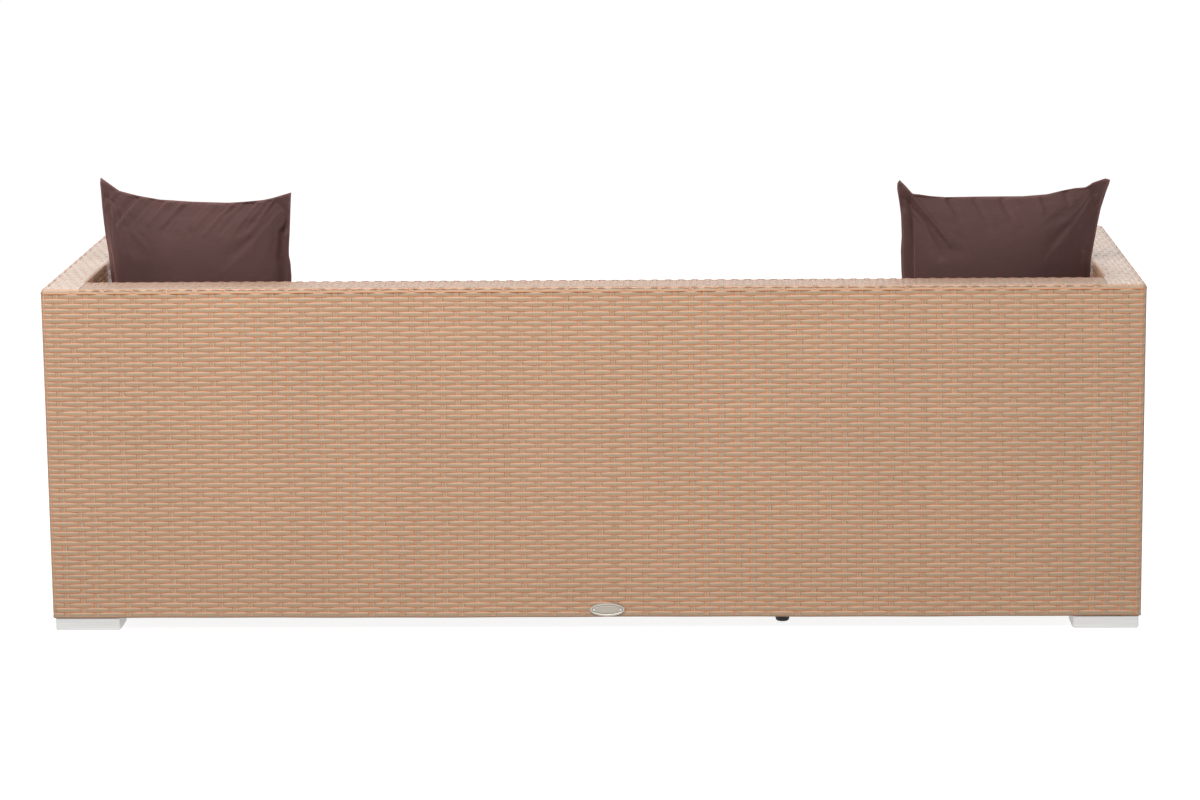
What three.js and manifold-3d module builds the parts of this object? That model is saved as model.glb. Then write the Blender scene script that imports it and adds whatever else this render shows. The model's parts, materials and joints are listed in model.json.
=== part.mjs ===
// Rattan garden sofa: a three-seat box sofa, woven over a welded tube frame, with loose cushions.
// Millimetres, +Z up. The front faces -Y, and left is -X, as someone in front of the sofa sees it.
// The origin is on the floor, under the middle of the woven body.

import * as THREE from 'three';
import { mergeVertices } from 'three/addons/utils/BufferGeometryUtils.js';
import Module from 'manifold-3d';

const wasm = await Module();
wasm.setup();

// Overall sizes
const sofaWidth = 2100;
const sofaDepth = 800;
const sofaHeight = 670;
const armThickness = 75;
const backThickness = 90;
const deckTop = 325;
const clearance = 0.3;

// Weave
const weaveThickness = 4;

// Frame of square tube
const tubeSize = 25;
const tubeWall = 1.5;
const tubeCornerRadius = 3;
const tubeBoreRadiusShare = 0.5;
const tubeCornerSteps = 1;
const crossMemberOffset = 363;

// Corner feet
const footHeight = 25;
const footLength = 127;
const footDepth = 80;
const footInset = 5;
const footCornerRadius = 7;
const footEdge = 1.5;
const footSteps = 2;

// Glides of the middle legs: the lip stands out past the tube, and the stem fits its bore
const glideLip = 1;
const glideHeight = 12;
const glideEdgeRadius = 5;
const glideStemGap = 0.6;
const glideStemLength = 16;
const glideSteps = 16;
const glideEdgeSteps = 3;

// Oval plate on the back, and its two rivets
const plateLength = 67;
const plateHeight = 26;
const plateThickness = 1.2;
const plateFromMiddle = -25;
const plateLift = 2;
const plateSteps = 12;
const rivetInset = 7.5;
const rivetShankRadius = 1.4;
const rivetHeadRadius = 2.5;
const rivetHeadHeight = 1.2;
const rivetTailRadius = 2.1;
const rivetTailLength = 1;
const rivetSteps = 10;
const rivetHeadSteps = 3;

// Seat cushions
const cushionPlaces = ['left', 'middle', 'right'];
const cushionSideGap = 1;
const seatCushionHeight = 98;
const seatCushionCrown = 14;
const seatCushionFrontInset = 3;
const cushionEdgeRadius = 16;
const cushionPull = 7;

// Back cushions
const backCushionThickness = 100;
const backCushionCrown = 16;
const backCushionHeight = 316;

// Scatter pillows
const pillowSize = 424;
const pillowThickness = 132;
const pillowLeanDegrees = 9;
const pillowArmMargin = 100;

// Where each pillow stands: how far its middle is from the arm, its turn about an
// upright line, its roll in its own plane and how far its foot settles
const leftPillowFromArm = 176;
const leftPillowTurnDegrees = 8;
const leftPillowRollDegrees = 0;
const leftPillowSettle = 10;
const rightPillowFromArm = 193;
const rightPillowTurnDegrees = 18;
const rightPillowRollDegrees = -2.5;
const rightPillowSettle = 21;

// Shares and powers that shape the soft forms
const cushionPullShare = 3;
const pillowFullnessShare = 0.52;
const pillowPullShare = 0.1;
const pillowEarShare = 4;

// Grid counts of the soft forms
const cushionColumns = 9;
const cushionRows = 9;
const cushionLayers = 4;
const pillowGrid = 14;

// Faces of the walls, and the tube centre lines that lie behind them
const outerX = sofaWidth / 2;
const outerY = sofaDepth / 2;
const innerX = outerX - armThickness;
const innerY = outerY - backThickness;
const skin = weaveThickness + clearance;
const halfTube = tubeSize / 2;
const tubeEnd = halfTube + clearance;
const tubeInset = skin + halfTube;
const outerTubeX = outerX - tubeInset;
const outerTubeY = outerY - tubeInset;
const innerTubeX = innerX + tubeInset;
const innerTubeY = innerY + tubeInset;
const topTubeZ = sofaHeight - tubeInset;
const seatTubeZ = deckTop - tubeInset;
const wallFoot = footHeight + clearance;
const bottomTubeZ = wallFoot + halfTube;
const wallTop = sofaHeight - skin;

// The oval plate lies against the back's outer face
const plateZ = wallFoot + plateLift + plateHeight / 2;
const plateY = outerY + clearance;
const rivetPlaces = [rivetInset - plateLength / 2, plateLength / 2 - rivetInset];
const rivetHoleRadius = rivetShankRadius + clearance;

function material(name, color, roughness, metalness) {
  return new THREE.MeshStandardMaterial({ name, color, roughness, metalness });
}

const weaveMaterial = material('weave', 0xbc977b, 0.55, 0);
const tubeMaterial = material('frame', 0x8c7460, 0.5, 0.6);
const footMaterial = material('foot', 0xd4d4d2, 0.4, 0.9);
const plateMaterial = material('plate', 0xb6aea3, 0.35, 0.9);
const glideMaterial = material('glide', 0x17171a, 0.7, 0);
const fabricMaterial = material('fabric', 0x4e3430, 0.95, 0);

const sofa = new THREE.Group();

function add(name, geometry, look, x, y, z) {
  const mesh = new THREE.Mesh(geometry, look);
  mesh.name = name;
  mesh.position.set(x, y, z);
  sofa.add(mesh);
  return mesh;
}

// A closed solid for cutting, from a geometry that already stands in its place
function solid(geometry) {
  const bare = geometry.clone();
  bare.deleteAttribute('normal');
  bare.deleteAttribute('uv');
  const merged = mergeVertices(bare);
  return new wasm.Manifold(new wasm.Mesh({
    numProp: 3,
    vertProperties: new Float32Array(merged.attributes.position.array),
    triVerts: new Uint32Array(merged.index.array),
  }));
}

function geometryOf(manifold) {
  const { vertProperties, triVerts } = manifold.getMesh();
  const geometry = new THREE.BufferGeometry();
  geometry.setAttribute('position', new THREE.BufferAttribute(vertProperties, 3));
  geometry.setIndex(new THREE.BufferAttribute(triVerts, 1));
  geometry.computeVertexNormals();
  return geometry;
}

// Frame

function roundedSquare(half, radius, path) {
  const flat = half - radius;
  path.moveTo(flat, -half);
  path.absarc(flat, -flat, radius, -Math.PI / 2, 0, false);
  path.absarc(flat, flat, radius, 0, Math.PI / 2, false);
  path.absarc(-flat, flat, radius, Math.PI / 2, Math.PI, false);
  path.absarc(-flat, -flat, radius, Math.PI, Math.PI * 1.5, false);
  return path;
}

function tubeGeometry(length) {
  const section = roundedSquare(halfTube, tubeCornerRadius, new THREE.Shape());
  const boreRadius = tubeCornerRadius * tubeBoreRadiusShare;
  const bore = roundedSquare(halfTube - tubeWall, boreRadius, new THREE.Path());
  section.holes.push(bore);
  return new THREE.ExtrudeGeometry(section, {
    depth: length,
    bevelEnabled: false,
    curveSegments: tubeCornerSteps,
  });
}

function upright(name, x, y, bottom, top) {
  return add(name, tubeGeometry(top - bottom), tubeMaterial, x, y, bottom);
}

function railAlongX(name, start, end, y, z) {
  const rail = add(name, tubeGeometry(end - start), tubeMaterial, start, y, z);
  rail.rotation.y = Math.PI / 2;
  return rail;
}

function railAlongY(name, x, start, end, z) {
  const rail = add(name, tubeGeometry(end - start), tubeMaterial, x, start, z);
  rail.rotation.x = -Math.PI / 2;
  return rail;
}

function addPosts(side, sign) {
  upright(`rear_${side}_corner_post`, sign * outerTubeX, outerTubeY, wallFoot, wallTop);
  upright(`rear_${side}_inner_post`, sign * innerTubeX, innerTubeY, wallFoot, wallTop);
  upright(`front_${side}_corner_post`, sign * outerTubeX, -outerTubeY, wallFoot, wallTop);
  upright(`front_${side}_inner_post`, sign * innerTubeX, -outerTubeY, wallFoot, wallTop);
}

function addArmRails(side, sign) {
  const outerReach = outerTubeY - tubeEnd;
  const innerReach = innerTubeY - tubeEnd;
  railAlongY(`${side}_arm_top_rail_outer`, sign * outerTubeX, -outerReach, outerReach, topTubeZ);
  railAlongY(`${side}_arm_top_rail_inner`, sign * innerTubeX, -outerReach, innerReach, topTubeZ);
  railAlongY(`${side}_arm_bottom_rail`, sign * outerTubeX, -outerReach, outerReach, bottomTubeZ);
  railAlongY(`seat_rail_${side}`, sign * innerTubeX, -outerReach, innerReach, seatTubeZ);
}

// The back's bottom rail has a hole in its outer wall for each rivet of the oval plate
function addBackBottomRail() {
  const reach = outerTubeX - tubeEnd;
  const rail = tubeGeometry(reach * 2);
  rail.rotateY(Math.PI / 2);
  rail.translate(-reach, outerTubeY, bottomTubeZ);
  let body = solid(rail);
  for (const place of rivetPlaces) {
    const hole = new THREE.CylinderGeometry(rivetHoleRadius, rivetHoleRadius, tubeSize, rivetSteps);
    hole.translate(plateFromMiddle + place, outerTubeY + halfTube, plateZ);
    body = body.subtract(solid(hole));
  }
  add('back_bottom_rail', geometryOf(body), tubeMaterial, 0, 0, 0);
}

function addLongRails() {
  const outerReach = outerTubeX - tubeEnd;
  const innerReach = innerTubeX - tubeEnd;
  railAlongX('back_top_rail_outer', -outerReach, outerReach, outerTubeY, topTubeZ);
  railAlongX('back_top_rail_inner', -innerReach, innerReach, innerTubeY, topTubeZ);
  railAlongX('front_bottom_rail', -innerReach, innerReach, -outerTubeY, bottomTubeZ);
  railAlongX('seat_rail_front', -innerReach, innerReach, -outerTubeY, seatTubeZ);
  railAlongX('seat_rail_rear', -innerReach, innerReach, innerTubeY, seatTubeZ);
}

// One line of frame from the front rail to the back's outer face
function addFrameLine(side, sign) {
  const x = sign * crossMemberOffset;
  const frontEnd = -outerTubeY + tubeEnd;
  railAlongY(`seat_cross_member_${side}`, x, frontEnd, innerTubeY - tubeEnd, seatTubeZ);
  railAlongY(`seat_tie_${side}`, x, innerTubeY + tubeEnd, outerTubeY - tubeEnd, seatTubeZ);
  upright(`back_upright_${side}`, x, outerTubeY, bottomTubeZ + tubeEnd, topTubeZ - tubeEnd);
}

// Woven panels: each is the flat slab that its weave fills

function slab(name, low, high) {
  const size = high.clone().sub(low);
  const middle = high.clone().add(low).multiplyScalar(1 / 2);
  const geometry = new THREE.BoxGeometry(size.x, size.y, size.z);
  return add(name, geometry, weaveMaterial, middle.x, middle.y, middle.z);
}

function addBackOuterWeave() {
  const face = new THREE.Shape();
  face.moveTo(-outerX, wallFoot);
  face.lineTo(outerX, wallFoot);
  face.lineTo(outerX, wallTop);
  face.lineTo(-outerX, wallTop);
  for (const place of rivetPlaces) {
    const hole = new THREE.Path();
    hole.absarc(-plateFromMiddle - place, plateZ, rivetHoleRadius, 0, Math.PI * 2, true);
    face.holes.push(hole);
  }
  const geometry = new THREE.ExtrudeGeometry(face, {
    depth: weaveThickness,
    bevelEnabled: false,
    curveSegments: rivetSteps,
  });
  geometry.rotateX(Math.PI / 2);
  geometry.rotateZ(Math.PI);
  add('back_outer_weave', geometry, weaveMaterial, 0, outerY - weaveThickness, 0);
}

function addBackWeave() {
  addBackOuterWeave();
  slab('back_top_weave',
    new THREE.Vector3(-outerX, innerY, sofaHeight - weaveThickness),
    new THREE.Vector3(outerX, outerY, sofaHeight));
  slab('back_inner_weave',
    new THREE.Vector3(-innerX + clearance, innerY, deckTop + clearance),
    new THREE.Vector3(innerX - clearance, innerY + weaveThickness, wallTop));
}

// A slab between two distances from the sofa's middle plane, on the side that sign gives
function sideSlab(name, sign, near, far, lowY, highY, lowZ, highZ) {
  const low = new THREE.Vector3(Math.min(sign * near, sign * far), lowY, lowZ);
  const high = new THREE.Vector3(Math.max(sign * near, sign * far), highY, highZ);
  return slab(name, low, high);
}

function addArmWeave(side, sign) {
  const front = -outerY + skin;
  sideSlab(`${side}_arm_outer_weave`, sign, outerX - weaveThickness, outerX,
    front, outerY - skin, wallFoot, wallTop);
  sideSlab(`${side}_arm_inner_weave`, sign, innerX, innerX + weaveThickness,
    front, innerY + weaveThickness, deckTop + clearance, wallTop);
  sideSlab(`${side}_arm_front_weave`, sign, innerX, outerX,
    -outerY, -outerY + weaveThickness, wallFoot, wallTop);
  sideSlab(`${side}_arm_top_weave`, sign, innerX, outerX,
    -outerY, innerY - clearance, sofaHeight - weaveThickness, sofaHeight);
}

function addApronWeave() {
  slab('front_apron_weave',
    new THREE.Vector3(-innerX + clearance, -outerY, wallFoot),
    new THREE.Vector3(innerX - clearance, -outerY + weaveThickness, deckTop));
}

// The seat deck lies over the four seat rails, with a notch for each inner post
function addSeatDeck() {
  const sideX = innerTubeX + halfTube;
  const notchX = innerTubeX - tubeEnd;
  const frontY = -outerY + skin;
  const frontNotchY = -outerTubeY + tubeEnd;
  const rearY = innerTubeY + halfTube;
  const rearNotchY = innerTubeY - tubeEnd;
  const outline = new THREE.Shape();
  outline.moveTo(-notchX, frontY);
  outline.lineTo(notchX, frontY);
  outline.lineTo(notchX, frontNotchY);
  outline.lineTo(sideX, frontNotchY);
  outline.lineTo(sideX, rearNotchY);
  outline.lineTo(notchX, rearNotchY);
  outline.lineTo(notchX, rearY);
  outline.lineTo(-notchX, rearY);
  outline.lineTo(-notchX, rearNotchY);
  outline.lineTo(-sideX, rearNotchY);
  outline.lineTo(-sideX, frontNotchY);
  outline.lineTo(-notchX, frontNotchY);
  const geometry = new THREE.ExtrudeGeometry(outline, { depth: weaveThickness, bevelEnabled: false });
  add('seat_deck_weave', geometry, weaveMaterial, 0, 0, deckTop - weaveThickness);
}

// Feet, middle legs and glides

function footGeometry() {
  const halfLength = footLength / 2 - footEdge;
  const halfDepth = footDepth / 2 - footEdge;
  const radius = footCornerRadius - footEdge;
  const flatX = halfLength - radius;
  const flatY = halfDepth - radius;
  const outline = new THREE.Shape();
  outline.moveTo(flatX, -halfDepth);
  outline.absarc(flatX, -flatY, radius, -Math.PI / 2, 0, false);
  outline.absarc(flatX, flatY, radius, 0, Math.PI / 2, false);
  outline.absarc(-flatX, flatY, radius, Math.PI / 2, Math.PI, false);
  outline.absarc(-flatX, -flatY, radius, Math.PI, Math.PI * 1.5, false);
  const geometry = new THREE.ExtrudeGeometry(outline, {
    depth: footHeight - footEdge * 2,
    bevelThickness: footEdge,
    bevelSize: footEdge,
    bevelSegments: 1,
    curveSegments: footSteps,
  });
  geometry.translate(0, 0, footEdge);
  return geometry;
}

function addFeet(side, sign) {
  const x = sign * (outerX - footInset - footLength / 2);
  const y = outerY - footInset - footDepth / 2;
  add(`foot_rear_${side}`, footGeometry(), footMaterial, x, y, 0);
  add(`foot_front_${side}`, footGeometry(), footMaterial, x, -y, 0);
}

function glideGeometry() {
  const glideRadius = halfTube + glideLip;
  const stemRadius = halfTube - tubeWall - glideStemGap;
  const centreR = glideRadius - glideEdgeRadius;
  const profile = [new THREE.Vector2(0, 0)];
  for (let i = 0; i <= glideEdgeSteps; i += 1) {
    const angle = (Math.PI / 2) * (i / glideEdgeSteps);
    const r = centreR + glideEdgeRadius * Math.sin(angle);
    const z = glideEdgeRadius - glideEdgeRadius * Math.cos(angle);
    profile.push(new THREE.Vector2(r, z));
  }
  profile.push(new THREE.Vector2(glideRadius, glideHeight));
  profile.push(new THREE.Vector2(stemRadius, glideHeight));
  profile.push(new THREE.Vector2(stemRadius, glideHeight + glideStemLength));
  profile.push(new THREE.Vector2(0, glideHeight + glideStemLength));
  const geometry = new THREE.LatheGeometry(profile, glideSteps);
  geometry.rotateX(Math.PI / 2);
  return geometry;
}

// A glide plugs into the lower end of each middle leg
function addMiddleLeg(end, y) {
  const top = seatTubeZ - tubeEnd;
  upright(`middle_leg_${end}`, -crossMemberOffset, y, glideHeight + clearance, top);
  add(`middle_glide_${end}`, glideGeometry(), glideMaterial, -crossMemberOffset, y, 0);
}

// Oval plate and rivets

function addOvalPlate() {
  const outline = new THREE.Shape();
  outline.absellipse(0, 0, plateLength / 2, plateHeight / 2, 0, Math.PI * 2, false, 0);
  for (const place of rivetPlaces) {
    const hole = new THREE.Path();
    hole.absarc(place, 0, rivetHoleRadius, 0, Math.PI * 2, true);
    outline.holes.push(hole);
  }
  const geometry = new THREE.ExtrudeGeometry(outline, {
    depth: plateThickness,
    bevelEnabled: false,
    curveSegments: plateSteps,
  });
  geometry.rotateX(Math.PI / 2);
  geometry.rotateZ(Math.PI);
  add('oval_plate', geometry, plateMaterial, plateFromMiddle, plateY, plateZ);
}

// A rivet holds the plate through the weave to the wall of the bottom rail
function rivetGeometry() {
  const grip = plateThickness + clearance + skin + tubeWall + clearance * 2;
  const profile = [
    new THREE.Vector2(0, -grip - rivetTailLength),
    new THREE.Vector2(rivetTailRadius, -grip - rivetTailLength),
    new THREE.Vector2(rivetTailRadius, -grip),
    new THREE.Vector2(rivetShankRadius, -grip),
    new THREE.Vector2(rivetShankRadius, 0),
  ];
  for (let i = 0; i < rivetHeadSteps; i += 1) {
    const angle = (Math.PI / 2) * (i / rivetHeadSteps);
    const r = rivetHeadRadius * Math.cos(angle);
    profile.push(new THREE.Vector2(r, rivetHeadHeight * Math.sin(angle)));
  }
  profile.push(new THREE.Vector2(0, rivetHeadHeight));
  return new THREE.LatheGeometry(profile, rivetSteps);
}

function addRivets() {
  const seat = plateY + plateThickness + clearance;
  const names = ['plate_rivet_left', 'plate_rivet_right'];
  names.forEach((name, i) => {
    add(name, rivetGeometry(), footMaterial, plateFromMiddle + rivetPlaces[i], seat, plateZ);
  });
}

// Cushions

// Pushes grid lines towards both ends, so that the rounded edges get their share of them
function spread(t) {
  return Math.sin((t * Math.PI) / 2);
}

function roundedCoordinate(value, half) {
  const flat = half - cushionEdgeRadius;
  return THREE.MathUtils.clamp(value, -flat, flat);
}

// A box cushion with a flat underside, a crowned top and sides drawn in between its corners.
// The side at -Y stays straight when it is the one that the cushion stands on.
function cushionGeometry(width, depth, height, crown, standsOnSide) {
  const grid = new THREE.BoxGeometry(1, 1, 1, cushionColumns, cushionRows, cushionLayers);
  const points = grid.attributes.position;
  const half = new THREE.Vector3(width / 2, depth / 2, height / 2);
  for (let i = 0; i < points.count; i += 1) {
    const u = spread(points.getX(i) * 2);
    const v = spread(points.getY(i) * 2);
    const w = spread(points.getZ(i) * 2);
    const raw = new THREE.Vector3(u * half.x, v * half.y, w * half.z);
    const core = new THREE.Vector3(
      roundedCoordinate(raw.x, half.x),
      roundedCoordinate(raw.y, half.y),
      roundedCoordinate(raw.z, half.z));
    const point = raw.clone().sub(core).setLength(cushionEdgeRadius).add(core);
    const acrossX = 1 - u * u;
    const acrossY = 1 - v * v;
    const pullY = v < 0 && standsOnSide ? 0 : cushionPull;
    point.x -= cushionPull * acrossY * Math.sign(u) * Math.abs(u) ** cushionPullShare;
    point.y -= pullY * acrossX * Math.sign(v) * Math.abs(v) ** cushionPullShare;
    point.z += half.z + crown * acrossX * acrossY * Math.max(w, 0);
    points.setXYZ(i, point.x, point.y, point.z);
  }
  grid.computeVertexNormals();
  return grid;
}

const cushionCount = cushionPlaces.length;
const cushionPitch = (innerX * 2) / cushionCount;
const cushionWidth = cushionPitch - cushionSideGap * 2;
const backCushionFrontY = innerY - clearance - backCushionThickness - backCushionCrown;
const seatCushionBackY = backCushionFrontY - cushionSideGap;
const seatCushionFrontY = -outerY + seatCushionFrontInset;
const seatCushionDepth = seatCushionBackY - seatCushionFrontY;
const cushionBottomZ = deckTop + clearance;

function cushionX(index) {
  return (index - (cushionCount - 1) / 2) * cushionPitch;
}

function addSeatCushions() {
  const middleY = (seatCushionBackY + seatCushionFrontY) / 2;
  cushionPlaces.forEach((place, i) => {
    const geometry = cushionGeometry(
      cushionWidth, seatCushionDepth, seatCushionHeight, seatCushionCrown, false);
    add(`seat_cushion_${place}`, geometry, fabricMaterial, cushionX(i), middleY, cushionBottomZ);
  });
}

// A back cushion stands on the deck behind the seat cushion, with its flat face to the back
function addBackCushions() {
  const middleZ = cushionBottomZ + backCushionHeight / 2;
  cushionPlaces.forEach((place, i) => {
    const geometry = cushionGeometry(
      cushionWidth, backCushionHeight, backCushionThickness, backCushionCrown, true);
    geometry.rotateX(Math.PI / 2);
    add(`back_cushion_${place}`, geometry, fabricMaterial, cushionX(i), innerY - clearance, middleZ);
  });
}

// Height of a seat cushion's top at a point, its edge rounding left out
function seatTopAt(x, y, middleX) {
  const u = THREE.MathUtils.clamp((x - middleX) / (cushionWidth / 2), -1, 1);
  const middleY = (seatCushionBackY + seatCushionFrontY) / 2;
  const v = THREE.MathUtils.clamp((y - middleY) / (seatCushionDepth / 2), -1, 1);
  return cushionBottomZ + seatCushionHeight + seatCushionCrown * (1 - u * u) * (1 - v * v);
}

// Scatter pillows

// A point of a knife-edge pillow that stands in the XZ plane: face is 1, -1 or 0 on the seam
function pillowPoint(i, j, face) {
  const u = spread((i / pillowGrid) * 2 - 1);
  const v = spread((j / pillowGrid) * 2 - 1);
  const drawnX = 1 - pillowPullShare * (1 - Math.abs(v) ** pillowEarShare);
  const drawnZ = 1 - pillowPullShare * (1 - Math.abs(u) ** pillowEarShare);
  const full = ((1 - u * u) * (1 - v * v)) ** pillowFullnessShare;
  return new THREE.Vector3(
    (pillowSize / 2) * u * drawnX,
    (pillowThickness / 2) * full * face,
    (pillowSize / 2) * v * drawnZ);
}

function pillowGeometry() {
  const positions = [];
  const rows = pillowGrid + 1;
  const frontAt = [];
  const backAt = [];
  for (let j = 0; j < rows; j += 1) {
    for (let i = 0; i < rows; i += 1) {
      const seam = i === 0 || j === 0 || i === pillowGrid || j === pillowGrid;
      frontAt.push(positions.length / 3);
      positions.push(...pillowPoint(i, j, seam ? 0 : -1).toArray());
      if (seam) {
        backAt.push(frontAt[frontAt.length - 1]);
      } else {
        backAt.push(positions.length / 3);
        positions.push(...pillowPoint(i, j, 1).toArray());
      }
    }
  }
  const index = [];
  for (let j = 0; j < pillowGrid; j += 1) {
    for (let i = 0; i < pillowGrid; i += 1) {
      const a = j * rows + i;
      const b = a + 1;
      const c = a + rows;
      const d = c + 1;
      index.push(frontAt[a], frontAt[b], frontAt[d], frontAt[a], frontAt[d], frontAt[c]);
      index.push(backAt[a], backAt[d], backAt[b], backAt[a], backAt[c], backAt[d]);
    }
  }
  const geometry = new THREE.BufferGeometry();
  geometry.setAttribute('position', new THREE.Float32BufferAttribute(positions, 3));
  geometry.setIndex(index);
  return geometry;
}

// Each pillow stands on an end seat cushion in front of the back cushion, close to its arm.
// Below the arm's top it is pressed flat against the arm, and its foot settles on the cushion.
function addPillow(side, sign, fromArm, turnDegrees, rollDegrees, settle) {
  const geometry = pillowGeometry();
  geometry.rotateY(THREE.MathUtils.degToRad(sign * rollDegrees));
  geometry.rotateX(THREE.MathUtils.degToRad(-pillowLeanDegrees));
  geometry.rotateZ(THREE.MathUtils.degToRad(-sign * turnDegrees));
  geometry.translate(sign * (innerX - fromArm), 0, 0);
  const points = geometry.attributes.position;
  const seatTop = cushionBottomZ + seatCushionHeight + seatCushionCrown;
  const freeZ = sofaHeight + pillowArmMargin - seatTop - pillowSize / 2;
  for (let i = 0; i < points.count; i += 1) {
    const limit = points.getZ(i) > freeZ ? outerX : innerX - clearance;
    points.setX(i, THREE.MathUtils.clamp(points.getX(i), -limit, limit));
  }
  geometry.computeBoundingBox();
  const y = backCushionFrontY - clearance - geometry.boundingBox.max.y;
  const endCushionX = sign * cushionX(cushionCount - 1);
  const seatAt = (i) => seatTopAt(points.getX(i), points.getY(i) + y, endCushionX) + clearance;
  let z = 0;
  for (let i = 0; i < points.count; i += 1) {
    z = Math.max(z, seatAt(i) - points.getZ(i));
  }
  z -= settle;
  for (let i = 0; i < points.count; i += 1) {
    points.setZ(i, Math.max(points.getZ(i), seatAt(i) - z));
  }
  geometry.computeVertexNormals();
  add(`scatter_pillow_${side}`, geometry, fabricMaterial, 0, y, z);
}

for (const [side, sign] of [['left', -1], ['right', 1]]) {
  addPosts(side, sign);
  addArmRails(side, sign);
  addFrameLine(side, sign);
  addArmWeave(side, sign);
  addFeet(side, sign);
}
addBackBottomRail();
addLongRails();
addBackWeave();
addApronWeave();
addSeatDeck();
addMiddleLeg('rear', innerTubeY);
addMiddleLeg('front', -outerTubeY + tubeSize + clearance);
addOvalPlate();
addRivets();
addSeatCushions();
addBackCushions();
addPillow('left', -1, leftPillowFromArm, leftPillowTurnDegrees,
  leftPillowRollDegrees, leftPillowSettle);
addPillow('right', 1, rightPillowFromArm, rightPillowTurnDegrees,
  rightPillowRollDegrees, rightPillowSettle);

export default sofa;
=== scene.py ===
"""Rattan garden sofa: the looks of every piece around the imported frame."""

import json
import math

import bmesh
import bpy
import numpy as np
from mathutils import Matrix, Vector


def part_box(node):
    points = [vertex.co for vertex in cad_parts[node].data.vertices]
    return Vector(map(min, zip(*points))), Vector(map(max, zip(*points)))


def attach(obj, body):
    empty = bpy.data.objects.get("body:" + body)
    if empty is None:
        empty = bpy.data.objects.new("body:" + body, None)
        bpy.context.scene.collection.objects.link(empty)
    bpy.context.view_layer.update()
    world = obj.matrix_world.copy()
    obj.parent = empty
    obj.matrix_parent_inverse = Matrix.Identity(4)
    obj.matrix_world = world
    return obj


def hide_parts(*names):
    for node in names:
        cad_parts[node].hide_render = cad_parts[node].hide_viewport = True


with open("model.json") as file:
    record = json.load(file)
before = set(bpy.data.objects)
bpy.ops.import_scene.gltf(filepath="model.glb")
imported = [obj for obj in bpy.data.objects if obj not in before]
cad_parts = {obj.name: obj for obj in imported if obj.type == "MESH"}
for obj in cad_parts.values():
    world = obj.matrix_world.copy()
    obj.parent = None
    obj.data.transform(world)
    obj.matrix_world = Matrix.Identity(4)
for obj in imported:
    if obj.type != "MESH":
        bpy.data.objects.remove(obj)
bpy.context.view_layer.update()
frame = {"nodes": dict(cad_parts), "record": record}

MM = 0.001
X, Y, Z = 0, 1, 2
SIDES = {"left": -1, "right": 1}
FAR = 100.0
TINY = 1e-9
CLEAR = 0.4 * MM
random = np.random.default_rng(11)

# Camera of the photograph: its picture and focal length in pixels, its place in the frame's own metres

PHOTO_WIDTH = 1200
PHOTO_HEIGHT = 800
PHOTO_FOCAL = 3622
SENSOR_WIDTH = 36
CAMERA_PLACE = Vector((-0.235, 7.171, 1.731))
CAMERA_YAW = math.radians(1.86)
CAMERA_PITCH = math.radians(10.70)
CAMERA_ROLL = math.radians(-0.59)

# Strips of the weave

STRIP_WIDTH = 10.3 * MM
UPRIGHT_WIDTH = 10.6 * MM
TOP_UPRIGHT_WIDTH = 7.6 * MM
STRIP_THICKNESS = 1.6 * MM
# How far a strip swings in and out of the middle of its panel
STRIP_SWING = 0.5 * MM
TOP_SWING = 0.45 * MM
# Points round a strip, as shares of half its width and of its thickness: two ridges with a groove between
STRIP_PROFILE = np.array(((1, -0.05), (0.74, 0.5), (0, 0.38), (-0.74, 0.5), (-1, -0.05),
                          (-0.88, -0.5), (0.88, -0.5)))
ROW_STEPS = 3
UPRIGHT_STEPS = 1
LEAST_STEP = 0.2 * MM
SAME_PLACE = 0.001 * MM
EDGE_RADIUS = 10.0 * MM
# Where a strip gets more points on a rounded edge, as shares of the radius
EDGE_STEPS = np.array((0.35, 0.7, 1.0))
# Round each crossing a strip stays level: a row up to this far inside the upright's edges
HOLD_INSET = 0.3 * MM
HOLD_GAP = 1.0 * MM
# and an upright this far above and below the middle of a row
HOLD_HEIGHT = 2.2 * MM
CORE_LEVEL = -1.6
CORE_POINTS = 30
HEM_WIDTH = 4.4 * MM
HEM_LEVEL = 1.0
HEM_POINTS = 60
# On its map a strip fills this share of a band of its own, and starts this share into it
STRIP_MAP_SHARE = 0.8
STRIP_MAP_MARGIN = 0.1

# How much lighter the tops of the strips are painted, a painted highlight; how much darker the rail and the
# hem are painted, painted shade; and how uneven the strips are

TOP_PAINTED_HIGHLIGHT = 0.45
RAIL_PAINTED_HIGHLIGHT = 0.15
RAIL_PAINTED_SHADE = 0.73
HEM_PAINTED_SHADE = 0.72
TINT_SPREAD = 0.025
GROOVE_TURN = 22.0

# Places of the rows and uprights

ROW_PITCH = 9.45 * MM
FIRST_ROW = 5.2 * MM
UPRIGHT_PITCH = 29.6 * MM
TOP_UPRIGHT_PITCH = 12.6 * MM
BACK_MARGINS = (10 * MM, 31 * MM)
WALL_MARGIN = 20 * MM
TOP_MARGIN = 8 * MM
FRONT_MARGIN = 13 * MM
BACK_UPRIGHT_JITTER = 2.2 * MM
ARM_UPRIGHT_JITTER = 2.0 * MM
TOP_UPRIGHT_JITTER = 0.6 * MM
CORNER_CLEARANCE = 5 * MM
DECK_CLEARANCE = 2 * MM
APRON_TUCK = 6 * MM
DECK_ROW_PITCH = 13.4 * MM
DECK_STRIP_WIDTH = 14.6 * MM
DECK_UPRIGHT_PITCH = 60 * MM

# How strips wander

STRAY_ALONG = 1.3 * MM
STRAY_ACROSS = 0.45 * MM
STRAY_FADE = 60 * MM
TOP_STRAYING = 0.4
RAIL_STRAYING = 0.3
# Waves: each one's share, its turns in a metre along and across the rows, and its turns for each seed
SLOW_WAVES = ((1, 1 / 0.9, 0.7, 0.37), (0.5, 1 / 0.23, -2.3, 0.61))
QUICK_WAVES = ((1, 3.1, 1 / 0.31, 0.23), (0.6, 17.0, 1 / 0.083, 0.71), (0.5, 41.0, 1 / 0.021, 0))

# Feet and oval plate

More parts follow.
